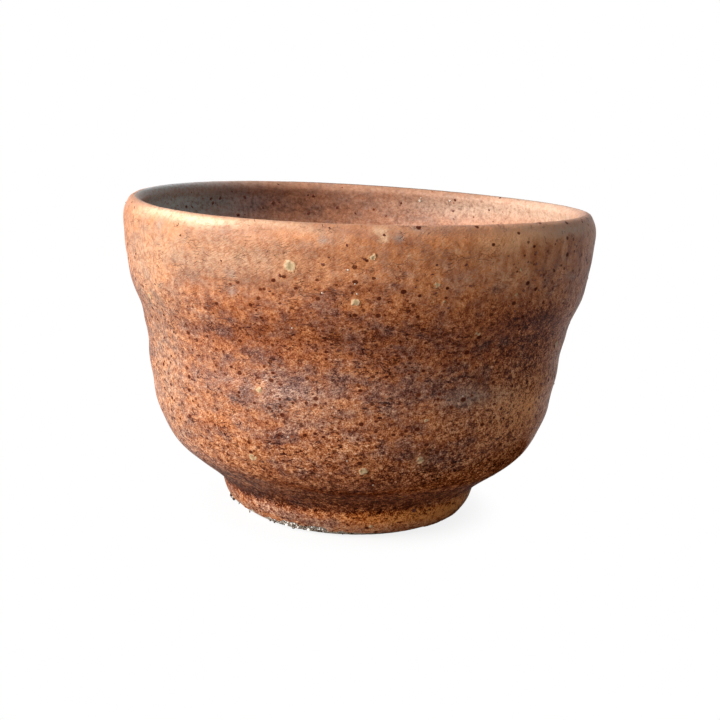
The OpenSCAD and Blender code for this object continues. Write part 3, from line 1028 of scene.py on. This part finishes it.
# iron specks that the picture shows, as pixel x, y and width; the rest are scattered outside between
# two heights in mm, fewer of them on the front
speckLook = {
    "front": [
        (329, 228, 4), (347, 245, 4), (364, 259, 5.5), (322, 264, 4.5), (280, 291, 4), (304, 291, 4),
        (311, 313, 4.5), (325, 318, 4), (297, 325, 3.5), (352, 293, 4), (341, 304, 4), (417, 281, 4.5),
        (416, 287, 4), (335, 333, 4), (350, 329, 4), (368, 329, 3.5), (221, 261, 3.5), (270, 291, 3.5),
        (244, 320, 3.5), (155, 284, 3.5), (508, 256, 4), (466, 265, 4.5), (514, 265, 4), (528, 262, 4),
        (536, 264, 4), (541, 275, 4.5), (535, 281, 4), (539, 290, 4.5), (524, 291, 4), (495, 299, 4),
        (488, 301, 4), (432, 275, 4), (437, 265, 4), (470, 286, 4), (436, 293, 4), (515, 311, 4),
        (457, 314, 4), (448, 308, 4), (557, 241, 4), (575, 244, 4), (384, 235, 4),
    ],
    "inside": [
        (211, 199, 4), (213, 203, 4.5), (209, 205, 3), (220, 198, 5), (232, 192, 3), (245, 197, 5),
        (263, 208, 4.5), (273, 203, 5), (279, 202, 3.5), (308, 195, 3), (313, 196, 5), (308, 213, 5),
        (337, 208, 4.5), (401, 203, 3.5), (386, 216, 3.5), (453, 211, 3.5), (454, 219, 3.5),
        (455, 200, 3), (489, 210, 3), (192, 207, 4), (355, 213, 3), (400, 205, 3), (278, 184, 3),
        (500, 198, 3),
    ],
    "share": 0.42,
    "shape": {"Segments": 10, "Rings": 5, "Height share": 0.12, "Uneven": 0.36 * mm,
              "Uneven size": 0.35 * mm, "Seed": 5},
    "scattered": 150,
    "sizes": (0.16 * mm, 0.36 * mm),
    "heights": (3, 42.5),
    "frontTurns": (196.0, 344.0),
    "frontChance": 0.45,
    "seed": 21,
}


def ironSpecks():
    spots = spotsAt(outerCoat, speckLook["front"], speckLook["share"])
    spots += spotsAt(linerCoat, speckLook["inside"], speckLook["share"])
    chance = np.random.default_rng(speckLook["seed"])
    least, most = speckLook["sizes"]
    start, end = speckLook["frontTurns"]
    for count in range(speckLook["scattered"]):
        azimuth, height = chance.uniform(0, 360), chance.uniform(*speckLook["heights"]) * mm
        radius = chance.uniform(0, 1)**2 * (most - least) + least
        if chance.uniform() <= speckLook["frontChance"] or not start < azimuth < end:
            spots.append((*onWall(outerCoat, azimuth, height), radius))
    return spots


speckSpots = ironSpecks()
speckPiece = grainPiece("ironSpecks", speckSpots, speckLook["shape"], ironSpot)

feldsparLook = {
    "shape": {"Segments": 28, "Rings": 10, "Height share": 0.09, "Uneven": 0.45 * mm,
              "Uneven size": 0.5 * mm, "Seed": 9},
    "spread": 0.98,
    "small": [
        (371, 526, 5.5), (521, 270, 5), (516, 294, 4.5), (433, 302, 4), (444, 302, 3.5), (426, 420, 4),
    ],
}


def feldsparSpots():
    spots = []
    for middle, radius in grainsOf("feldspar_grains"):
        azimuth = math.degrees(math.atan2(middle.y, middle.x))
        spots.append((*onWall(outerCoat, azimuth, middle.z), radius * feldsparLook["spread"]))
    return spots + spotsAt(outerCoat, feldsparLook["small"], 0.5)


feldsparPlaces = feldsparSpots()
feldsparPiece = grainPiece("feldsparSpots", feldsparPlaces, feldsparLook["shape"], feldspar)

# pale lumps set where small glints of light show on the glaze: painted highlights made as grains
glintLook = {
    "front": [
        (348, 270, 2.3), (322, 293, 1.9), (357, 294, 1.7), (355, 284, 1.7), (292, 328, 1.9),
        (373, 485, 2.2), (430, 503, 2.0), (347, 461, 1.6), (463, 396, 1.6), (288, 437, 1.8),
        (270, 444, 1.5),
    ],
    "inside": [(420, 201, 3.4), (450, 201, 2.4), (421, 198, 2.0)],
    "shape": {"Segments": 8, "Rings": 5, "Height share": 0.35, "Uneven": 0.08 * mm,
              "Uneven size": 0.2 * mm, "Seed": 3},
}
glintSpots = spotsAt(outerCoat, glintLook["front"], 0.5) + spotsAt(linerCoat, glintLook["inside"], 0.5)
glintPiece = grainPiece("glintGrains", glintSpots, glintLook["shape"], glintGrain)

sandLook = {
    "shape": {"Segments": 12, "Rings": 8, "Height share": 0.42, "Uneven": 0.5 * mm,
              "Uneven size": 0.35 * mm, "Seed": 13},
    "grit": {"Segments": 6, "Rings": 4, "Height share": 0.8, "Uneven": 0.1 * mm,
             "Uneven size": 0.2 * mm, "Seed": 17},
    "spread": 0.95,
    "stripFrom": 200.0,
    "stripSpread": 0.5,
    "gritCount": 420,
    "gritSizes": (0.04 * mm, 0.16 * mm),
    "gritTurns": (234.0, 275.0),
    "gritHeights": (0.25 * mm, 1.7 * mm),
    "seed": 31,
}


def sandSpots():
    spots = []
    for middle, radius in grainsOf("kiln_sand"):
        azimuth = math.degrees(math.atan2(middle.y, middle.x)) % 360
        share = sandLook["stripSpread" if azimuth > sandLook["stripFrom"] else "spread"]
        spots.append((middle, Vector((middle.x, middle.y, 0)).normalized(), radius * share))
    return spots


def gritSpots():
    chance = np.random.default_rng(sandLook["seed"])
    spots = []
    for count in range(sandLook["gritCount"]):
        azimuth, height = chance.uniform(*sandLook["gritTurns"]), chance.uniform(*sandLook["gritHeights"])
        spots.append((*onWall(turnedFoot, azimuth, height), chance.uniform(*sandLook["gritSizes"])))
    return spots


sandPiece = grainPiece("footSand", sandSpots(), sandLook["shape"], sandGrain)
gritPiece = grainPiece("footGrit", gritSpots(), sandLook["grit"], sandGrain)

linerPatchLook = {
    # inside, the tone patches are painted shade over the back and the right of the inner wall
    "tone": [
        (262, 204, 60, 14, -0.12), (330, 206, 60, 14, -0.1), (395, 210, 40, 14, -0.04),
        (330, 206, 50, 12, -0.04), (430, 208, 60, 14, -0.07), (500, 212, 110, 12, -0.1),
    ],
    "dusk": [(180, 200, 100, 14, 0.2), (500, 212, 110, 12, -0.2)],
    # inside, the grey shade is painted shade and painted reflection: the blue-grey of the inner wall on
    # its shaded left
    "ash": [(165, 205, 112, 60, 1.02)],
    # inside, the peach shade is a painted highlight where the inner wall faces the lamp
    "peach": [(545, 212, 130, 12, 0.5), (450, 206, 60, 12, 0.25)],
    "sheen": [(520, 206, 60, 8, 0.2)],
}
footPatchLook = {"soot": [(320, 526, 32, 9, 0.9)]}
paintPatches(outerCoat, patchLook)
paintPatches(linerCoat, linerPatchLook)
paintPatches(turnedFoot, footPatchLook)
paintHalos(outerCoat, [(place, radius) for place, normal, radius in speckSpots + feldsparPlaces])

for item, node, slot in ((speckPiece, None, "outer_glaze"),
                         (feldsparPiece, "feldspar_grains", "feldspar"),
                         (glintPiece, None, "feldspar"),
                         (sandPiece, "kiln_sand", "sand"),
                         (gritPiece, None, "sand")):
    if node:
        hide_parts(node)
    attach(item, "root")
print("grains placed")


# the table and the light
stageLook = {
    "radius": 600 * mm,
    "rimPoints": 96,
    "height": -0.02 * mm,
    "whiteShare": 0.84,
    "shadow": (14.5 * mm, 23 * mm),
    "bounce": (17 * mm, 30 * mm),
    "table": (0.88, 0.88, 0.88),
    "tableBounce": (0.4, 0.36, 0.33),
    "ambient": (1.0, 0.85, 0.73),
    "ambientStrength": 0.16,
    "keyTurns": (211.0, 26.0),
    "keyDistance": 560 * mm,
    "keySize": (420 * mm, 260 * mm),
    "keyPower": 6.2,
    "keyColour": (1.0, 0.98, 0.965),
}


def seenDirectly(b):  # white for the camera, and for what reflects it or lets it through
    path = b.put("LightPath").outputs
    seen = b.math("MAXIMUM", path["Is Camera Ray"], path["Is Glossy Ray"])
    return b.math("MAXIMUM", seen, path["Is Transmission Ray"])


def setTable():
    rim, radius = stageLook["rimPoints"], stageLook["radius"]
    turns = [2 * math.pi * i / rim for i in range(rim)]
    points = [(radius * math.cos(turn), radius * math.sin(turn), stageLook["height"]) for turn in turns]
    mesh = bpy.data.meshes.new("table")
    mesh.from_pydata(points, [], [list(range(rim))])
    table = newObject("table", mesh)
    finish, b, place = newFinish("tableWhite")
    away = b.vector("LENGTH", place, output=1)
    seen = b.put("LightPath").outputs["Is Camera Ray"]
    near = b.fit(away, *stageLook["shadow"], stageLook["whiteShare"], 1.0, smooth=True)
    far = b.fit(away, *stageLook["bounce"], smooth=True)
    share = b.times(seenDirectly(b), b.math("MAXIMUM", far, b.times(seen, near)))
    diffuse = b.put("BsdfDiffuse", {"Color": b.blend(seen, stageLook["tableBounce"], stageLook["table"])})
    white = b.put("Emission", {"Color": (1, 1, 1, 1), "Strength": 1.0})
    mixed = b.put("MixShader", {0: share, 1: diffuse, 2: white})
    b.put("OutputMaterial", {"Surface": mixed})
    mesh.materials.append(finish)


def setLight():
    world = bpy.data.worlds.new("studio")
    world.use_nodes = True
    world.node_tree.nodes.clear()
    b = Board(world.node_tree)
    dim = b.put("Background", {"Color": (*stageLook["ambient"], 1),
                               "Strength": stageLook["ambientStrength"]})
    white = b.put("Background", {"Color": (1, 1, 1, 1), "Strength": 1.0})
    mixed = b.put("MixShader", {0: seenDirectly(b), 1: dim, 2: white})
    b.put("OutputWorld", {"Surface": mixed})
    bpy.context.scene.world = world

    lamp = bpy.data.lights.new("window", "AREA")
    lamp.shape = "RECTANGLE"
    lamp.size, lamp.size_y = stageLook["keySize"]
    lamp.energy = stageLook["keyPower"]
    lamp.color = stageLook["keyColour"]
    item = newObject("window", lamp)
    turn, lift = (math.radians(angle) for angle in stageLook["keyTurns"])
    aim = Vector((math.cos(turn) * math.cos(lift), math.sin(turn) * math.cos(lift), math.sin(lift)))
    item.location = Vector((0, 0, view["aimHeight"])) + aim * stageLook["keyDistance"]
    item.rotation_euler = aim.to_track_quat("Z", "Y").to_euler()


setTable()
setLight()
bpy.context.scene.view_settings.view_transform = "Standard"
print("stage set")
